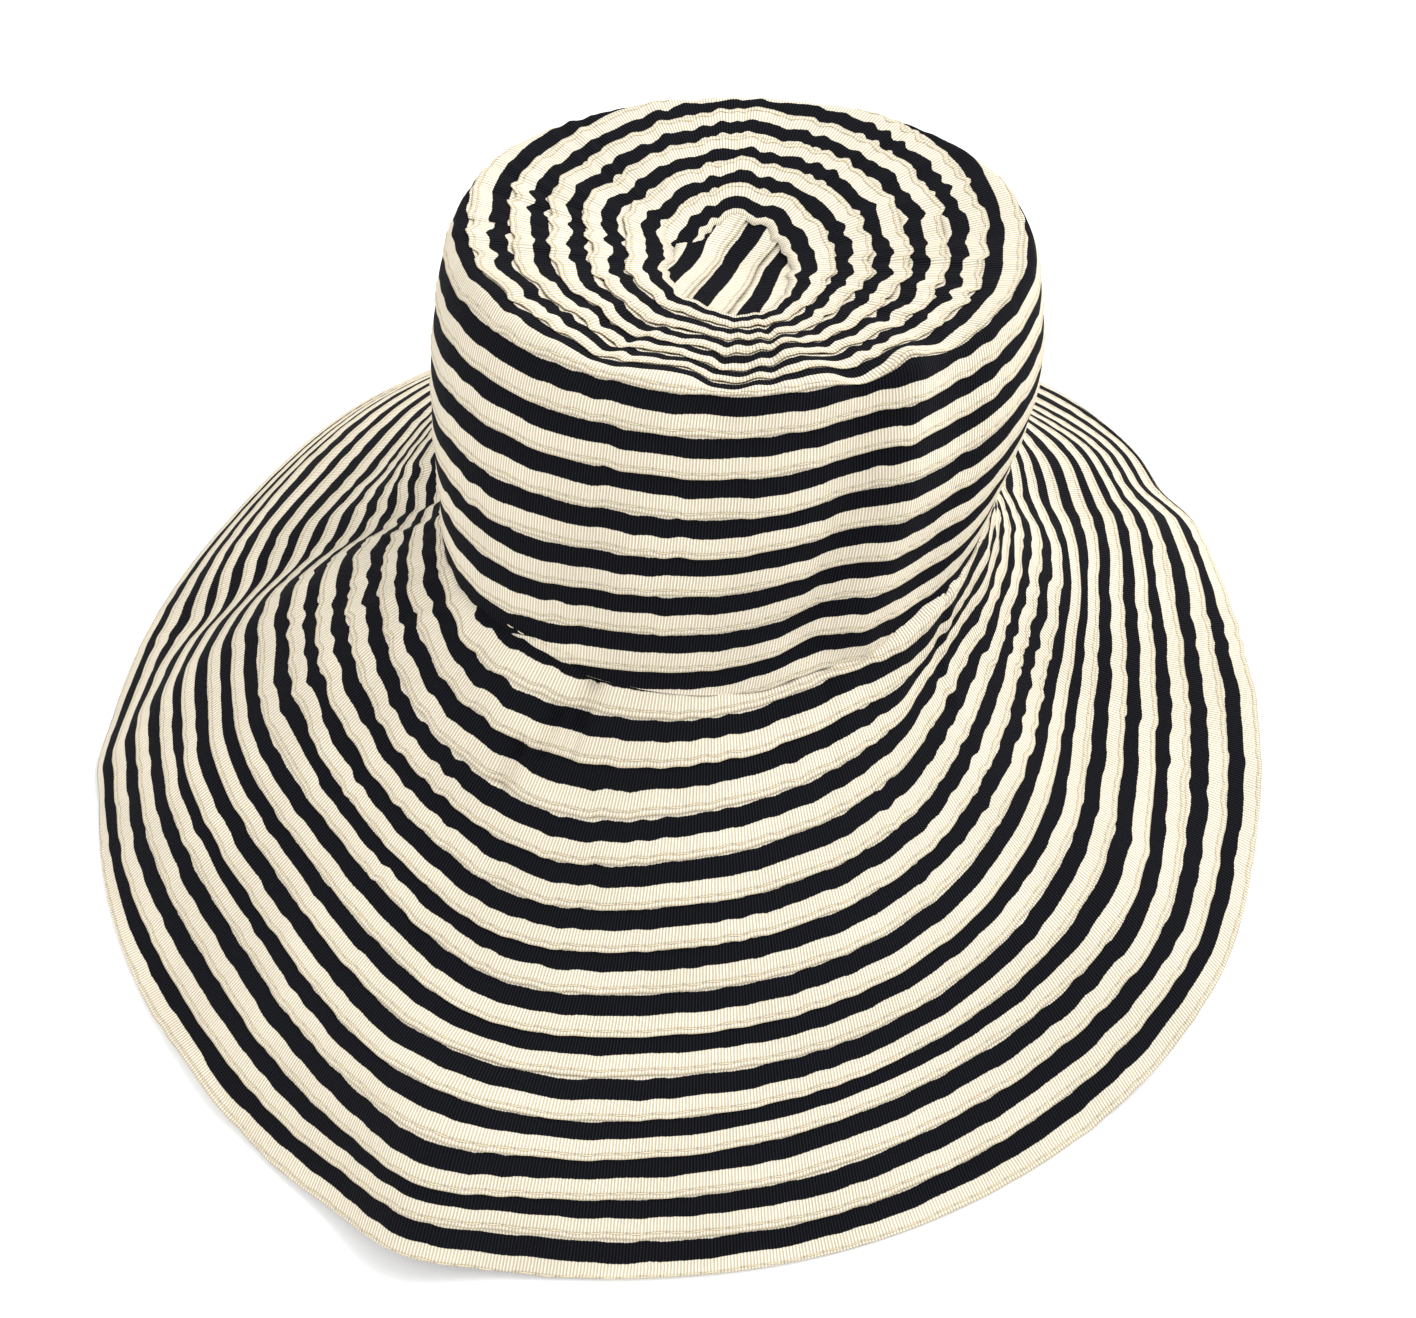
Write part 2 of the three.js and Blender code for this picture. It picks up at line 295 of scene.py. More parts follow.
# Soft folds and dents. The ends are an angle from the front towards the right and a share of the way
# along the section. wide and rise are millimetres.
folds = [
    {"on": "brim", "from": (-40, 0.05), "to": (-42, 0.95), "wide": 26, "rise": 2.5},
    {"on": "brim", "from": (40, 0.05), "to": (50, 0.95), "wide": 26, "rise": 2.0},
    {"on": "brim", "from": (-21, 0.82), "to": (-21, 1.0), "wide": 20, "rise": 7.0},
    {"on": "brim", "from": (-84, 0.25), "to": (-76, 0.95), "wide": 15, "rise": 3.0},
    {"on": "brim", "from": (-99, 0.12), "to": (-92, 0.80), "wide": 15, "rise": -5.0},
    {"on": "brim", "from": (101, 0.15), "to": (114, 0.95), "wide": 15, "rise": -4.5},
    {"on": "brim", "from": (-23, 0.02), "to": (-23.5, 0.10), "wide": 2.6, "rise": -3.4},
    {"on": "brim", "from": (-27.6, 0.09), "to": (-28, 0.17), "wide": 2.6, "rise": -3.4},
    {"on": "brim", "from": (-31, 0.17), "to": (-31.5, 0.25), "wide": 2.6, "rise": -3.2},
    {"on": "crown", "from": (22, 0.48), "to": (18, 0.92), "wide": 8, "rise": -3.8},
    {"on": "crown", "from": (31, 0.48), "to": (28, 0.95), "wide": 7, "rise": 3.6},
    {"on": "crown", "from": (44, 0.50), "to": (42, 0.95), "wide": 7, "rise": -1.8},
    {"on": "crown", "from": (-3, 0.38), "to": (-6, 0.50), "wide": 8, "rise": -2.8},
    {"on": "crown", "from": (-14, 0.46), "to": (-18, 0.80), "wide": 10, "rise": 1.6},
    {"on": "crown", "from": (10, 0.34), "to": (14, 0.44), "wide": 7, "rise": 2.0},
    {"on": "crown", "from": (-34, 0.30), "to": (-30, 0.44), "wide": 7, "rise": -2.0},
]
# Fine puckers that run across the rows. spacing is degrees, strongest and reach are shares of the
# section's length, slant is degrees from one end of the section to the other.
puckers = {
    "crown": {"rise": 0.75, "spacing": 3.0, "seed": 61, "strongest": 0.36, "reach": 0.16, "slant": 25},
    "brim": {"rise": 0.70, "spacing": 2.6, "seed": 67, "strongest": 0.10, "reach": 0.20, "slant": 25},
}
foldLinePoints = 24


def fold(form, settings, pucker):
    # Raises the form along each fold's line, then adds the fine puckers
    share = np.linspace(0, 1, foldLinePoints)
    for one in settings:
        (angleA, outA), (angleB, outB) = one["from"], one["to"]
        angles = angleA + (angleB - angleA) * share
        line = onForm(form, angles, (outA + (outB - outA) * share) * lengthAt(form, angles))[0]
        away = np.full(form["points"].shape[:2], np.inf)
        for point in line:
            away = np.minimum(away, np.linalg.norm(form["points"] - point, axis=2))
        rise = one["rise"] * np.exp(-(away / one["wide"]) ** 2)
        form["points"] += form["normals"] * rise[..., None]
    share = np.linspace(0, 1, form["points"].shape[1])
    strength = pucker["rise"] * np.exp(-((share - pucker["strongest"]) / pucker["reach"]) ** 2)
    slanted = sliceAngles[:, None] + pucker["slant"] * share[None]
    wave = noise(slanted / pucker["spacing"], pucker["seed"])
    form["points"] += form["normals"] * (strength[None] * wave)[..., None]


def makeForms():
    rim = ridgePoints(sliceAngles)
    middle = np.array([
        crown["leanRight"] - crown["tipShiftLeft"],
        seam["setBack"] + crown["leanBack"] + crown["tipShiftBack"],
        seam["height"] + ridgeRise - crown["tipSink"],
    ])
    tipStations = [np.tile(middle, (len(sliceAngles), 1))]
    for out, up in tipRings:
        station = middle + (rim - middle) * out
        station[:, 2] = middle[2] + (rim[:, 2] - middle[2]) * up
        tipStations.append(station)
    tip, tipLengths = section(tipStations + [rim], hat["steps"] // 2)
    rings = [sidePoints(sliceAngles, ring) for ring in sideRings]
    side = section([rim] + rings + [seamPoints(sliceAngles)], hat["steps"] // 2)[0]
    whole = np.concatenate([tip, side[:, 1:]], 1).transpose(1, 0, 2)
    points, lengths = evenly(whole, hat["steps"])
    crownForm = formFrom(softened(points, crown["softness"]), lengths)
    crownForm["ridge"] = tipLengths

    low = seamPoints(sliceAngles)
    brimStations = [low]
    for station in range(brimRun.shape[1]):
        run = brim["turns"] * brim["pitch"] * around(brimRun[:, station], sliceAngles)
        point = low + outwards * run[:, None]
        point[:, 2] = seam["height"] * around(brimRise[:, station], sliceAngles)
        brimStations.append(point)
    points = section(brimStations, hat["steps"])[0].transpose(1, 0, 2)
    tuckedEnd = low - outwards * brim["tuck"] - np.array([0, 0, brim["tuckDrop"]])
    points, lengths = evenly(np.concatenate([[tuckedEnd], points]), hat["steps"])
    points[:, :, 2] = np.maximum(points[:, :, 2], hat["restHeight"])
    brimForm = formFrom(points, lengths)
    for name, form in (("crown", crownForm), ("brim", brimForm)):
        fold(form, [one for one in folds if one["on"] == name], puckers[name])
        form["points"] += np.array(hat["shift"])
    return crownForm, brimForm


crownForm, brimForm = makeForms()
print("forms", crownForm["points"].shape, brimForm["lengths"].min(), brimForm["lengths"].max())


# Where the turns lie. A turn starts at the left and goes round the back and the right to the front.
# A place on the ribbon is its number of turns, and its row is the turn whose stripe would lie there.

winding = {
    "brimRows": 13.25,
    "brimStepFrom": 0.333,  # share of a turn where the brim's ribbon moves out by a row
    "brimStepTo": 0.458,
    "startLeft": -90,  # degrees from the front towards the right
}
# Crown, every sixteenth of a turn from the left: turn that crosses the ridge,
# turns' width on the tip in pitches, and turn that reaches the seam
crownRows = np.array([
    (6.05, 1.02, 13.00), (5.75, 0.95, 12.95), (5.45, 0.90, 12.90), (4.95, 0.86, 12.95),
    (4.60, 0.84, 13.00), (4.90, 0.90, 13.15), (5.42, 0.98, 13.30), (6.00, 1.00, 13.60),
    (6.42, 0.97, 13.80), (6.50, 0.93, 13.90), (6.50, 0.85, 13.90), (6.49, 0.68, 14.60),
    (6.35, 0.59, 14.20), (6.27, 0.68, 13.90), (6.18, 0.80, 13.25), (6.09, 0.93, 13.10),
])

# Where the brim's rows lie further out or in than even rows would, in rows. A line every 22.5
# degrees from the back, and a column for every second row from firstShiftRow on.
firstShiftRow = -2
rowsBetweenShifts = 2
rowShift = np.array([
    (0, 0.00, 0.00, 0.00, 0.00, 0.00, 0.00, 0.00, 0),
    (0, 0.00, 0.00, 0.00, 0.00, 0.00, 0.00, 0.00, 0),
    (0, 0.00, 0.00, -0.10, -0.15, -0.10, 0.00, 0.00, 0),
    (0, 0.00, 0.00, -0.40, -0.45, -0.30, -0.10, 0.10, 0),
    (0, 0.00, -0.30, -0.10, 0.05, -0.05, 0.00, 0.15, 0),
    (0, 0.05, 0.00, 0.15, 0.30, 0.10, 0.00, 0.15, 0),
    (0, 0.60, 0.65, 0.60, 0.35, 0.20, 0.00, 0.00, 0),
    (0, 0.50, 0.95, 0.95, 0.85, 0.70, 0.40, 0.10, 0),
    (0, 0.25, 0.50, 0.60, 0.60, 0.50, 0.25, 0.10, 0),
    (0, -0.10, 0.00, 0.15, 0.20, 0.20, -0.10, -0.05, 0),
    (0, 0.20, -0.30, -0.20, -0.15, -0.10, -0.05, 0.00, 0),
    (0, 0.00, -0.25, -0.35, -0.10, -0.20, -0.20, 0.00, 0),
    (0, 0.00, -0.10, -0.30, -0.15, -0.35, -0.35, -0.10, 0),
    (0, 0.00, 0.00, -0.20, -0.30, -0.15, -0.30, 0.00, 0),
    (0, 0.00, 0.00, 0.00, -0.10, -0.10, -0.10, 0.00, 0),
    (0, 0.00, 0.00, 0.00, 0.00, 0.00, 0.00, 0.00, 0),
])


def angleOf(turn):
    return winding["startLeft"] - 360 * turn


def roundTable(values, share):
    # around() with the turn's own share instead of an angle
    return around(values, np.asarray(share) * 360 - 180)


def shiftOf(place, angles):
    # rowShift at a row and an angle
    lastColumn = rowShift.shape[1] - 1
    column = np.clip((place - firstShiftRow) / rowsBetweenShifts, 0, lastColumn)
    first = np.minimum(column.astype(int), lastColumn - 1)
    t = eased(column - first)
    shifts = around(rowShift, angles)
    inner = np.take_along_axis(shifts, first[..., None], -1)[..., 0]
    outer = np.take_along_axis(shifts, first[..., None] + 1, -1)[..., 0]
    return inner * (1 - t) + outer * t


def brimPlace(turn, row):
    # Distance from the start of the brim's section. Its turns step out by a row at the back right.
    share = turn - np.floor(turn)
    stepLength = winding["brimStepTo"] - winding["brimStepFrom"]
    step = eased(np.clip((share - winding["brimStepFrom"]) / stepLength, 0, 1))
    place = row - share + step
    place = place + 0.5 + shiftOf(place, angleOf(turn))
    width = lengthAt(brimForm, angleOf(turn)) - brim["tuck"]
    return brim["tuck"] + place * width / winding["brimRows"]


def crownPlace(turn, row):
    # Distance from the middle of the tip
    share = turn - np.floor(turn)
    crossing = roundTable(crownRows[:, 0], share)
    onTip = roundTable(crownRows[:, 1], share) * crown["pitch"]
    atSeam = roundTable(crownRows[:, 2], share)
    ridge = lengthAt(crownForm, angleOf(turn), "ridge")
    side = lengthAt(crownForm, angleOf(turn)) - ridge
    onSide = side / (atSeam - crossing)
    past = row - crossing
    return ridge + np.where(past < 0, past * onTip, past * onSide)


ribbon = {
    "width": 16.0,
    "halfThickness": 0.21,
    "edgeThickness": 0.10,  # half, along both edges
    "edgeWidth": 0.5,
    "lapStep": 0.70,  # how far a turn sinks over one pitch towards its inner edge
    "topLift": 0.35,
    "inner": -0.50,  # its edges, in pitches from the middle of the black stripe
    "outer": 0.75,
    "stitchFromEdge": 1.7,
    "stitchDip": 0.10,
    "stitchDipWidth": 0.5,
    "innerRipple": 0.35,  # share of the ripple that the inner half has
    "buckleFrom": 3,
    "buckleWidth": 13,
    "diveLength": 14,  # over which the start of the tip's ribbon bends down under the strips
    "lowest": 0.02,  # above the floor
    "top": [0, 2.6, 3.4, 4.8, 6.4, 8.0, 9.4, 10.8, 12.4, 13.6, 14.3, 15.1, 15.8, 16.0],
    "under": [16.0, 12.0, 7.0, 3.0, 0],
}


def profileOf():
    # Across the ribbon: distance from its inner edge, lift from its middle
    rows = []
    stitchAt = ribbon["width"] - ribbon["stitchFromEdge"]
    for side, places in ((1, ribbon["top"]), (-1, ribbon["under"])):
        for place in places:
            edge = min(place, ribbon["width"] - place)
            thick = ribbon["halfThickness"] if edge > ribbon["edgeWidth"] else ribbon["edgeThickness"]
            away = (place - stitchAt) / ribbon["stitchDipWidth"]
            rows.append((place, side * thick - ribbon["stitchDip"] * math.exp(-away ** 2)))
    return np.array(rows)


profile = profileOf()
samplesPerTurn = 1440


def waveAt(settings, kind, run, seedStep):
    return noise(run / settings[kind + "Length"], settings["seed"] + seedStep)


def ribbonPoints(settings, turns, run, across, lift):
    # Points of a wound ribbon at turns and distances across it, their outward directions,
    # and which of them lie within the form
    form, angles = settings["form"], angleOf(turns)
    sideways = np.sin(np.radians(angles)) ** 2
    swing = settings["scallop"] + settings["sideScallop"] * sideways
    drift = settings["drift"] * waveAt(settings, "drift", run, 0)
    sway = drift + swing * waveAt(settings, "scallop", run, 1)
    row = turns + ribbon["inner"] + (ribbon["outer"] - ribbon["inner"]) * across / ribbon["width"]
    shingle = ribbon["topLift"] - (turns + ribbon["outer"] - row) * ribbon["lapStep"]
    edgeShare = np.clip((across - 0.5 * ribbon["width"]) / (0.5 * ribbon["width"]), 0, 1)
    rippleShare = ribbon["innerRipple"] + (1 - ribbon["innerRipple"]) * edgeShare
    ripple = settings["ripple"] * rippleShare * waveAt(settings, "ripple", run, 2)
    hump = np.sin(math.pi * np.clip((across - ribbon["buckleFrom"]) / ribbon["buckleWidth"], 0, 1))
    ripple = ripple + settings["buckle"] * waveAt(settings, "buckle", run, 3) * hump
    distance = settings["place"](turns, row + sway)
    limit = lengthAt(form, angles)
    points, normals = onForm(form, angles, np.clip(distance, settings["from"], limit))
    dive = settings["dive"] * np.exp(-(run / ribbon["diveLength"]) ** 2)
    points = points + normals * (shingle + lift + ripple - dive)[..., None]
    points[..., 2] = np.maximum(points[..., 2], ribbon["lowest"])
    return points, normals, (distance > settings["from"]) & (distance < limit)


def evenTurns(settings):
    # Turns at even steps along the middle of the ribbon, with the length up to each
    first, last = settings["turns"]
    fine = np.linspace(first, last, int((last - first) * samplesPerTurn))
    points = ribbonPoints(settings, fine, 0 * fine, 0.5 * ribbon["width"] + 0 * fine, 0 * fine)[0]
    run = np.concatenate([[0], np.cumsum(np.linalg.norm(np.diff(points, axis=0), axis=1))])
    wanted = np.linspace(0, run[-1], int(run[-1] / settings["step"]))
    return np.interp(wanted, run, fine), wanted


def meshPiece(name, points, faces, material, uv=None):
    # A smooth piece of cloth or thread that rides on the hat. uv is in metres.
    mesh = bpy.data.meshes.new(name)
    mesh.from_pydata((points * metres).tolist(), [], faces)
    if uv is not None:
        layer = mesh.uv_layers.new(name="ribbon")
        vertexOf = np.empty(len(mesh.loops), int)
        mesh.loops.foreach_get("vertex_index", vertexOf)
        layer.data.foreach_set("uv", uv[vertexOf].ravel())
    mesh.validate()
    mesh.polygons.foreach_set("use_smooth", [True] * len(mesh.polygons))
    mesh.materials.append(material)
    piece = bpy.data.objects.new(name, mesh)
    bpy.context.scene.collection.objects.link(piece)
    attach(piece, "root")
    return piece


def tidyMesh(piece):
    mesh = bmesh.new()
    mesh.from_mesh(piece.data)
    bmesh.ops.dissolve_degenerate(mesh, dist=0.01 * metres, edges=mesh.edges)
    bmesh.ops.recalc_face_normals(mesh, faces=mesh.faces)
    mesh.to_mesh(piece.data)
    mesh.free()


def bandPiece(name, points, uv, there):
    # A length of ribbon from its cross-sections, closed at both ends. Sections that aren't there
    # are left out.
    rows, columns = points.shape[:2]
    grid = np.arange(rows * columns).reshape(rows, columns)
    keep = np.nonzero(there[:-1] | there[1:])[0]
    here, ahead = grid[keep], grid[keep + 1]
    quads = np.stack([here, np.roll(here, -1, 1), np.roll(ahead, -1, 1), ahead], -1).reshape(-1, 4)
    faces = quads.tolist() + [grid[keep[0]][::-1].tolist(), grid[keep[-1] + 1].tolist()]
    piece = meshPiece(name, points.reshape(-1, 3), faces, ribbonCloth, uv.reshape(-1, 2))
    tidyMesh(piece)
    return piece


def woundRibbon(name, settings, runStart):
    turns, run = evenTurns(settings)
    run = run + runStart
    runs, across = np.meshgrid(run, profile[:, 0], indexing="ij")
    lift = profile[:, 1] + 0 * runs
    points, _, inside = ribbonPoints(settings, turns[:, None] + 0 * across, runs, across, lift)
    uv = np.stack([runs, across], -1) * metres
    piece = bandPiece(name, points, uv, inside.any(1))
    return piece, turns, run


# Ribbons. turns says where each starts and ends, from is how far along the section the cloth begins,
# and the swings of drift and scallop are in pitches. The brim's two pieces share one seed and one
# length, so their waves go on, and so do the crown's.
brimWinding = {"form": brimForm, "place": brimPlace, "from": 0, "dive": 0}
crownWinding = {"form": crownForm, "place": crownPlace, "from": 3, "dive": 0}
ribbons = {
    "brim_ribbon_inner": {
        **brimWinding, "turns": (-1.54, 5.4), "node": "brim", "startsNew": True,
        "step": 1.7, "seed": 11, "drift": 0.05, "driftLength": 60,
        "scallop": 0.03, "sideScallop": 0.085, "scallopLength": 4,
        "ripple": 0.05, "rippleLength": 9, "buckle": 0.05, "buckleLength": 5,
    },
    "brim_ribbon_outer": {
        **brimWinding, "turns": (5.4, 12.458), "node": "brim", "startsNew": False,
        "step": 1.9, "seed": 11, "drift": 0.05, "driftLength": 60,
        "scallop": 0.025, "sideScallop": 0.03, "scallopLength": 5,
        "ripple": 0.05, "rippleLength": 10, "buckle": 0.04, "buckleLength": 6,
    },
    "crown_ribbon_tip": {
        **crownWinding, "turns": (-0.03, 5.0), "node": "crown_tip", "startsNew": True,
        "step": 1.2, "seed": 21, "drift": 0.06, "driftLength": 40,
        "scallop": 0.11, "sideScallop": 0.02, "scallopLength": 3.4,
        "ripple": 0.12, "rippleLength": 6, "buckle": 0.12, "buckleLength": 4, "dive": 2.2,
    },
    "crown_ribbon_side": {
        **crownWinding, "turns": (5.0, 14.5), "node": "crown_side", "startsNew": False,
        "step": 1.6, "seed": 21, "drift": 0.05, "driftLength": 50,
        "scallop": 0.035, "sideScallop": 0.02, "scallopLength": 5,
        "ripple": 0.05, "rippleLength": 9, "buckle": 0.05, "buckleLength": 6,
    },
}


# Materials

def linear(code):
    parts = [int(code[k:k + 2], 16) / 255 for k in (1, 3, 5)]
    return [c / 12.92 if c <= 0.04045 else ((c + 0.055) / 1.055) ** 2.4 for c in parts] + [1]


def addNode(tree, kind, inputs=None, **settings):
    # Adds a node and sets its options and inputs, which are values or other nodes' outputs
    node = tree.nodes.new("ShaderNode" + kind)
    for option, value in settings.items():
        setattr(node, option, value)
    for key, value in (inputs or {}).items():
        if isinstance(value, bpy.types.NodeSocket):
            tree.links.new(value, node.inputs[key])
        else:
            node.inputs[key].default_value = value
    return node


def newMaterial(name, roughness):
    material = bpy.data.materials.new(name)
    material.use_nodes = True
    shader = material.node_tree.nodes["Principled BSDF"]
    shader.inputs["Roughness"].default_value = roughness
    return material, shader


# Lengths in metres
cloth = {
    "cream": "#fbf5e6",
    # painted shade in the cream's rib grooves
    "creamGrooveShade": "#c4b390",
    "black": "#0b0c11",
    # painted shade in the black's rib grooves
    "blackGrooveShade": "#020203",
    # painted highlight on the black's rib tops
    "blackPaintedHighlight": "#1b1c26",
    "ribSpacing": 0.00098,
    "ribSway": 0.00035,
    "ribDepth": 0.0003,
    "ribTopPower": 0.7,
    # how narrowly the painted highlight sits on the black's rib tops
    "paintedHighlightPower": 3.0,
    "stripeFrom": 0.0034,
    "stripeTo": 0.0095,
    "stripeSway": 0.0005,
    "edgeBlur": 0.00012,
    "stitchSpacing": 0.006,
    "stitchAcross": 0.0143,
    "mottleFrom": (0.3, 0.7),  # of the noise, and the brightness there
    "mottleTo": (0.93, 1.03),
    "fineDepth": 0.35,  # share of the ribs' depth
    "roughness": 0.88,
    "specular": 0.12,
}
# Painted shade marks on the ribbon, at the needle holes, along the stitching and along the outer edge
# that lies over the next turn: where each fades in, its colour and strength, and its depth as a share of
# the ribs'
marks = {
    "needleHoleShade": {"fade": (0.00075, 0.0003), "colour": "#5f5442", "strength": 0.10, "depth": 0.35},
    "stitchGrooveShade": {"fade": (0.0006, 0.0001), "colour": "#8d8067", "strength": 0.34, "depth": 0.5},
    "lapEdgeShade": {"fade": (0.0151, 0.0159), "colour": "#a08f6c", "strength": 0.5, "depth": 0},
}
# Noise: how fine it is along and across the ribbon, or everywhere, and its detail
ribGrain = {"along": 420.0, "across": 160.0, "detail": 1.0}
edgeGrain = {"along": 900.0, "across": 90.0, "detail": 2.0}
mottleGrain = {"scale": 28.0, "detail": 3.0}
fineGrain = {"scale": 2600.0, "detail": 2.0}
threadGrain = {"scale": 3000.0, "detail": 2.0}
threadColours = ("#c4b48f", "#e9dfc6")


def noiseNode(tree, place, grain):
    inputs = {"Vector": place, "Scale": grain.get("scale", 1.0), "Detail": grain["detail"]}
    return addNode(tree, "TexNoise", inputs).outputs[0]


def ribbonMaterial():
    # Grosgrain: cross ribs that catch the light in their bump, with painted shade in their grooves and a
    # painted highlight on the black's rib tops, a matt near-black stripe on cream
    material, shader = newMaterial("striped grosgrain ribbon", roughness=cloth["roughness"])
    shader.inputs["Specular IOR Level"].default_value = cloth["specular"]
    tree = material.node_tree

    def calc(operation, *values):
        return addNode(tree, "Math", dict(enumerate(values)), operation=operation).outputs[0]

    def between(value, fade, out=(0.0, 1.0)):
        inputs = {"Value": value, "From Min": fade[0], "From Max": fade[1]}
        inputs.update({"To Min": out[0], "To Max": out[1]})
        return addNode(tree, "MapRange", inputs, interpolation_type="SMOOTHSTEP").outputs[0]

    def mix(share, a, b):
        return addNode(tree, "Mix", {0: share, 6: a, 7: b}, data_type="RGBA").outputs[2]

    def swayed(value, grain, swing):
        # The value, moved either way by noise that follows the ribbon
        place = addNode(tree, "CombineXYZ", {
            0: calc("MULTIPLY", along, grain["along"]),
            1: calc("MULTIPLY", across, grain["across"]),
        }).outputs[0]
        wave = calc("SUBTRACT", noiseNode(tree, place, grain), 0.5)
        return calc("ADD", value, calc("MULTIPLY", wave, swing))

    def marked(colour, height, name, value):
        # Colour with one mark's painted shade, and height with its dent, if it has one
        there = between(value, marks[name]["fade"])
        strength = calc("MULTIPLY", there, marks[name]["strength"])
        depth = calc("MULTIPLY", there, marks[name]["depth"])
        return mix(strength, colour, linear(marks[name]["colour"])), calc("SUBTRACT", height, depth)

    uv = addNode(tree, "UVMap", uv_map="ribbon").outputs[0]
    parts = addNode(tree, "SeparateXYZ", {0: uv})
    along, across = parts.outputs[0], parts.outputs[1]
    objectPlace = addNode(tree, "TexCoord").outputs["Object"]

    # Ribs run across the ribbon, about a millimetre apart and slightly uneven
    ribPlace = swayed(along, ribGrain, cloth["ribSway"])
    phase = calc("MULTIPLY", ribPlace, 2 * math.pi / cloth["ribSpacing"])
    rib = calc("ADD", calc("MULTIPLY", calc("SINE", phase), 0.5), 0.5)
    ribTop = calc("POWER", rib, cloth["ribTopPower"])

    # The black stripe, its edges frayed rib by rib
    place = swayed(across, edgeGrain, cloth["stripeSway"])
    blur, innerEdge, outerEdge = cloth["edgeBlur"], cloth["stripeFrom"], cloth["stripeTo"]
    pastInner = between(place, (innerEdge - blur, innerEdge + blur))
    beforeOuter = between(place, (outerEdge + blur, outerEdge - blur))
    stripe = calc("MULTIPLY", pastInner, beforeOuter)

    # The cream, with painted shade in its rib grooves and mottled at random
    cream = mix(ribTop, linear(cloth["creamGrooveShade"]), linear(cloth["cream"]))
    mottled = between(noiseNode(tree, objectPlace, mottleGrain), cloth["mottleFrom"], cloth["mottleTo"])
    cream = addNode(tree, "VectorMath", {0: cream, "Scale": mottled}, operation="SCALE").outputs[0]
    # The black, with a painted highlight on its rib tops and painted shade in its grooves
    paintedHighlightShare = calc("POWER", rib, cloth["paintedHighlightPower"])
    blackWithPaintedHighlight = mix(paintedHighlightShare, linear(cloth["black"]), linear(cloth["blackPaintedHighlight"]))
    black = mix(rib, linear(cloth["blackGrooveShade"]), blackWithPaintedHighlight)
    colour = mix(stripe, cream, black)
    fine = noiseNode(tree, objectPlace, fineGrain)
    height = calc("ADD", rib, calc("MULTIPLY", fine, cloth["fineDepth"]))

    # Needle holes and a dip along the stitching, both dented and darkened with painted shade, and painted
    # shade along the outer edge where each turn lies over the next
    cell = calc("SUBTRACT", calc("FRACT", calc("DIVIDE", along, cloth["stitchSpacing"])), 0.5)
    awayAlong = calc("MULTIPLY", cell, cloth["stitchSpacing"])
    awayAcross = calc("SUBTRACT", across, cloth["stitchAcross"])
    squares = [calc("MULTIPLY", away, away) for away in (awayAlong, awayAcross)]
    away = calc("SQRT", calc("ADD", *squares))
    colour, height = marked(colour, height, "needleHoleShade", away)
    colour, height = marked(colour, height, "stitchGrooveShade", calc("ABSOLUTE", awayAcross))
    colour, height = marked(colour, height, "lapEdgeShade", across)
    tree.links.new(colour, shader.inputs["Base Color"])

    bump = addNode(tree, "Bump", {"Height": height, "Distance": cloth["ribDepth"], "Strength": 1.0})
    tree.links.new(bump.outputs[0], shader.inputs["Normal"])
    return material


def threadMaterial():
    # Cream sewing thread
    material, shader = newMaterial("cotton sewing thread", roughness=0.8)
    tree = material.node_tree
    place = addNode(tree, "TexCoord").outputs["Object"]
    strands = noiseNode(tree, place, threadGrain)
    dark, pale = [linear(code) for code in threadColours]
    colour = addNode(tree, "Mix", {0: strands, 6: dark, 7: pale}, data_type="RGBA")
    tree.links.new(colour.outputs[2], shader.inputs["Base Color"])
    return material


def floorMaterial():
    # Plain white studio board
    material, shader = newMaterial("white studio board", roughness=0.9)
    shader.inputs["Base Color"].default_value = linear(studio["floorColour"])
    return material


ribbonCloth = ribbonMaterial()
thread = threadMaterial()
print("materials", ribbonCloth.name, thread.name)


# Stitches: short arches of thread near the outer edge of every turn
stitch = {
    "length": 4.6,
    "radius": 0.2,
    "endShare": 0.6,  # of the radius
    "rise": 0.22,
    "sink": 0.05,
    "rings": 5,
    "sides": 6,
}


def tubes(name, lines, normals):
    # Short tubes of thread along lines of points, all with the same number of points
    count, rings = lines.shape[:2]
    sides = stitch["sides"]
    ahead = unit(np.gradient(lines, axis=1))
    beside = unit(np.cross(ahead, normals))
    upright = np.cross(beside, ahead)
    turn = np.linspace(0, 2 * math.pi, sides, endpoint=False)[None, None, :, None]
    thin = np.ones(rings)
    thin[[0, -1]] = stitch["endShare"]
    radii = (stitch["radius"] * thin)[None, :, None, None]
    ring = beside[:, :, None] * np.cos(turn) + upright[:, :, None] * np.sin(turn)
    points = (lines[:, :, None] + radii * ring).reshape(-1, 3)
    faces = []
    base = np.arange(count) * rings * sides
    for r in range(rings - 1):
        for k in range(sides):
            a, b = r * sides + k, r * sides + (k + 1) % sides
            faces.append(np.stack([base + a, base + b, base + b + sides, base + a + sides], -1))
    quads = np.concatenate(faces).tolist()
    caps = np.concatenate([
        base[:, None] + np.arange(sides)[None, ::-1],
        base[:, None] + (rings - 1) * sides + np.arange(sides)[None],
    ]).tolist()
    return meshPiece(name, points, quads + caps, thread)


alongStitch = np.linspace(-0.5, 0.5, stitch["rings"])
archOfStitch = 1 - (2 * alongStitch) ** 2


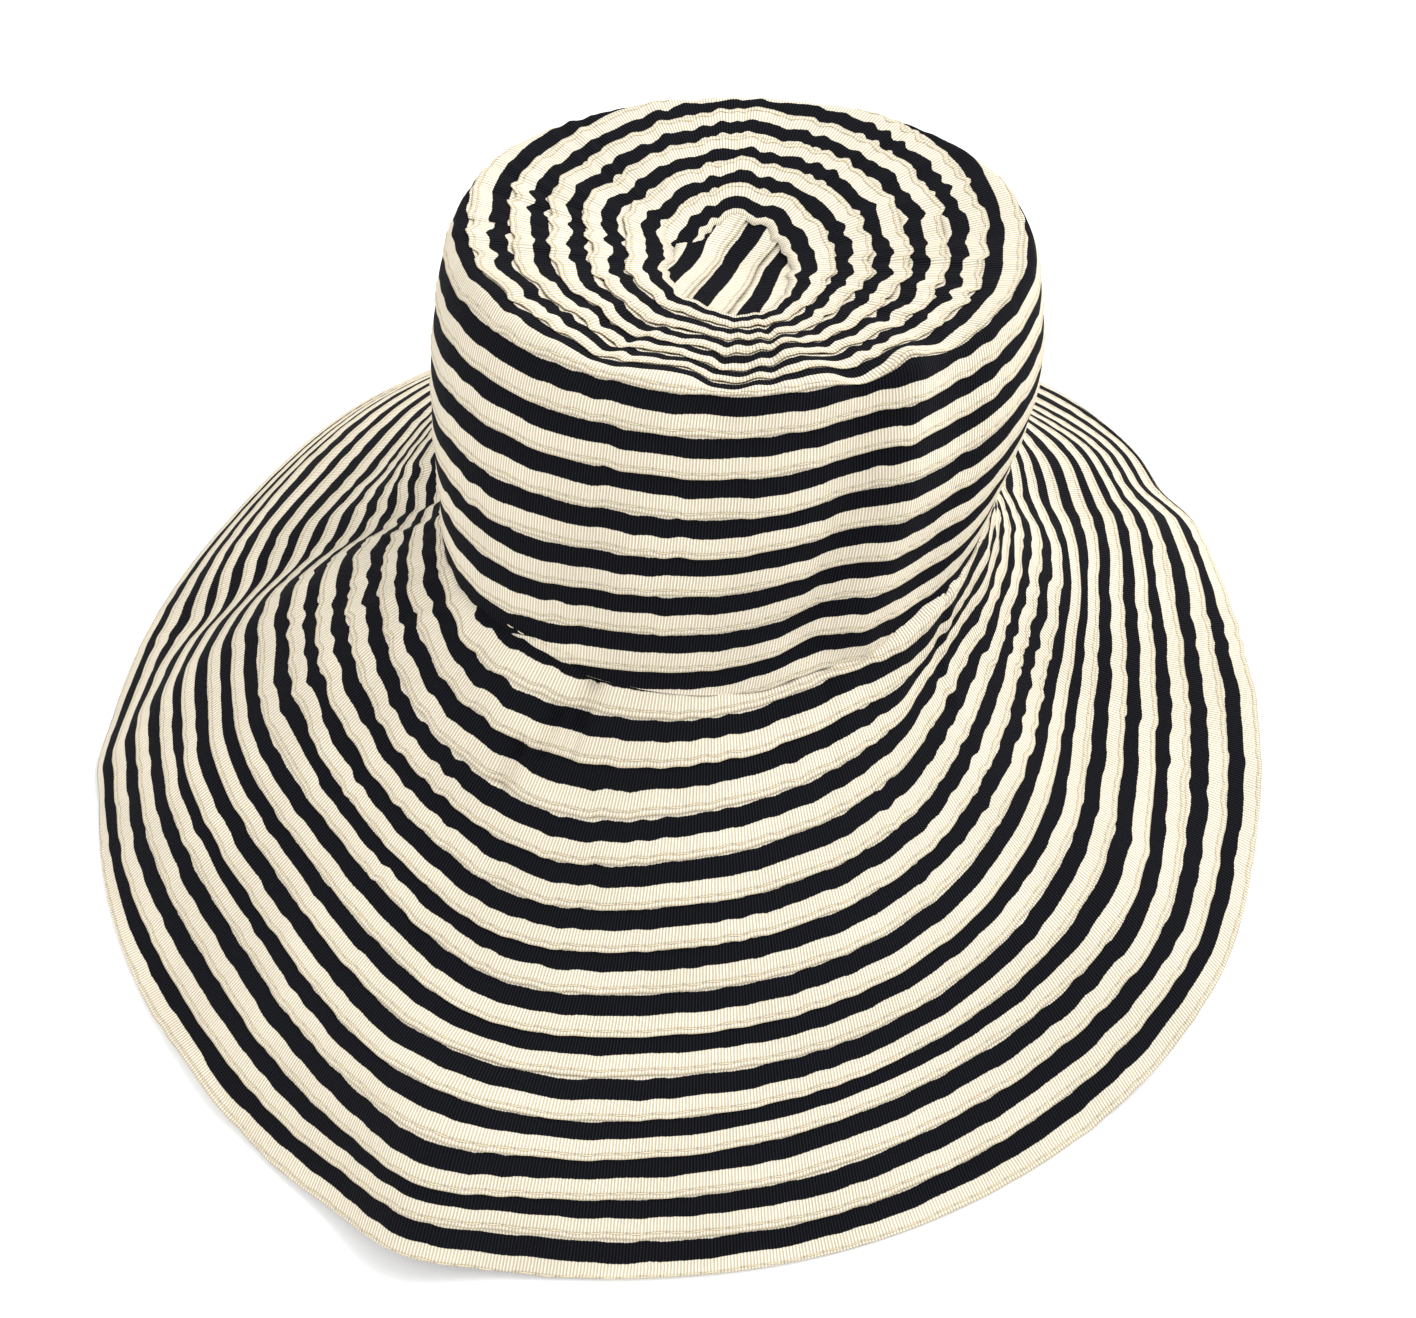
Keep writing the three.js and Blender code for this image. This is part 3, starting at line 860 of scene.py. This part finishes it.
def stitchesOn(name, settings, turns, run):
    spacing = cloth["stitchSpacing"] / metres
    centres = np.arange(int(run[0] / spacing) + 1, int(run[-1] / spacing)) * spacing
    places = centres[:, None] + alongStitch * stitch["length"]
    across = ribbon["width"] - ribbon["stitchFromEdge"] + 0 * places
    surface = ribbon["halfThickness"] - ribbon["stitchDip"]
    lift = surface + stitch["rise"] * archOfStitch - stitch["sink"] + 0 * places
    turnAt = np.interp(places, run, turns)
    points, normals, inside = ribbonPoints(settings, turnAt, places, across, lift)
    good = inside.all(1)
    piece = tubes(name, points[good], normals[good])
    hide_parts(settings["node"])
    print(name, int(good.sum()), "stitches")


# Short rows of stitches on the crown's last turn, at the front left and the front right.
# Angles are degrees from the front towards the right, up is from the seam.
lockRows = [
    {"angles": [-42.0, -39.4, -36.8, -34.2, -31.6, -29.0], "up": 5.0},
    {"angles": [31.0, 33.4, 35.8], "up": 3.2},
]
lockStitch = {"degrees": 1.5, "lift": 0.62, "rise": 0.25}


def lockStitches():
    rows = []
    for row in lockRows:
        angles = np.array(row["angles"])[:, None] + alongStitch * lockStitch["degrees"]
        distances = lengthAt(crownForm, angles) - row["up"]
        rows.append(onForm(crownForm, angles, distances))
    points, normals = [np.concatenate(found) for found in zip(*rows)]
    lift = lockStitch["lift"] + lockStitch["rise"] * archOfStitch
    piece = tubes("lock_stitches", points + normals * lift[None, :, None], normals)
    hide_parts("crown_side")
    print("lock_stitches", len(points))


lockStitches()
runEnd = 0
for name, settings in ribbons.items():
    runStart = 0 if settings["startsNew"] else runEnd
    piece, turns, run = woundRibbon(name, settings, runStart)
    runEnd = run[-1]
    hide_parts(settings["node"])
    stitchesOn(name.replace("ribbon", "stitches"), settings, turns, run)


# Three short lengths of ribbon close the middle of the tip
patch = {
    "turn": 22,  # degrees, from the back towards the right
    "step": 1.0,
    "lift": -1.15,
    "tilt": 0.7,  # how much higher a strip's right edge lies than its left
    "nextLower": 0.35,
    "sway": {"swing": 0.25, "length": 6, "seed": 40},
    "ripple": {"swing": 0.12, "length": 5, "seed": 50},
    "uvShift": 0.1,  # metres, so that the strips' patterns differ
}
# Right edge and both ends of each strip, from the middle of the tip
strips = [
    {"edge": -4, "front": -32, "back": 31},
    {"edge": 9.5, "front": -38, "back": 26},
    {"edge": 24.5, "front": -41, "back": 21},
]


def patchWave(kind, along, index):
    wave = patch[kind]
    return wave["swing"] * noise(along / wave["length"], wave["seed"] + index)


def patchStrip(index, strip):
    length = strip["back"] - strip["front"]
    along = np.linspace(strip["front"], strip["back"], int(length / patch["step"]) + 1)
    u, across = np.meshgrid(along, profile[:, 0], indexing="ij")
    v = strip["edge"] - ribbon["width"] + across + patchWave("sway", u, index)
    turn = math.radians(patch["turn"])
    x = v * math.cos(turn) + u * math.sin(turn)
    y = -v * math.sin(turn) + u * math.cos(turn)
    points = onForm(crownForm, np.degrees(np.arctan2(x, -y)), np.hypot(x, y))[0]
    points[..., 2] += patch["lift"] + patch["tilt"] * across / ribbon["width"] + profile[:, 1]
    points[..., 2] += patchWave("ripple", u, index) - patch["nextLower"] * index
    uv = np.stack([u * metres + patch["uvShift"] * index, across * metres], -1)
    piece = bandPiece(f"tip_ribbon_{index + 1}", points, uv, np.ones(len(along), bool))
    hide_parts(f"tip_strip_{index + 1}")


for index, strip in enumerate(strips):
    patchStrip(index, strip)
print("strips", len(strips))


# Floor and light, in metres
studio = {
    "floorSize": 6,
    "floorColour": "#fafafa",
    "worldColour": "#ffffff",
    "worldStrength": 0.95,
    "aim": (0, 0, 0.05),
    "lights": [
        {"name": "window", "place": (1.0, 0.5, 1.3), "size": 1.0, "power": 22},
        {"name": "fill", "place": (-1.1, -0.8, 1.3), "size": 1.6, "power": 9},
    ],
}


def makeStudio():
    bpy.ops.mesh.primitive_plane_add(size=studio["floorSize"])
    floor = bpy.context.active_object
    floor.name = "floor"
    floor.data.materials.append(floorMaterial())
    world = bpy.data.worlds.new("studio")
    world.use_nodes = True
    background = world.node_tree.nodes["Background"]
    background.inputs[0].default_value = linear(studio["worldColour"])
    background.inputs[1].default_value = studio["worldStrength"]
    bpy.context.scene.world = world
    for settings in studio["lights"]:
        data = bpy.data.lights.new(settings["name"], "AREA")
        data.size = settings["size"]
        data.energy = settings["power"]
        light = bpy.data.objects.new(settings["name"], data)
        bpy.context.scene.collection.objects.link(light)
        light.location = settings["place"]
        aim = Vector(studio["aim"]) - light.location
        light.rotation_euler = aim.to_track_quat("-Z", "Y").to_euler()


makeStudio()
bpy.context.scene.view_settings.view_transform = "Standard"
print("studio made")
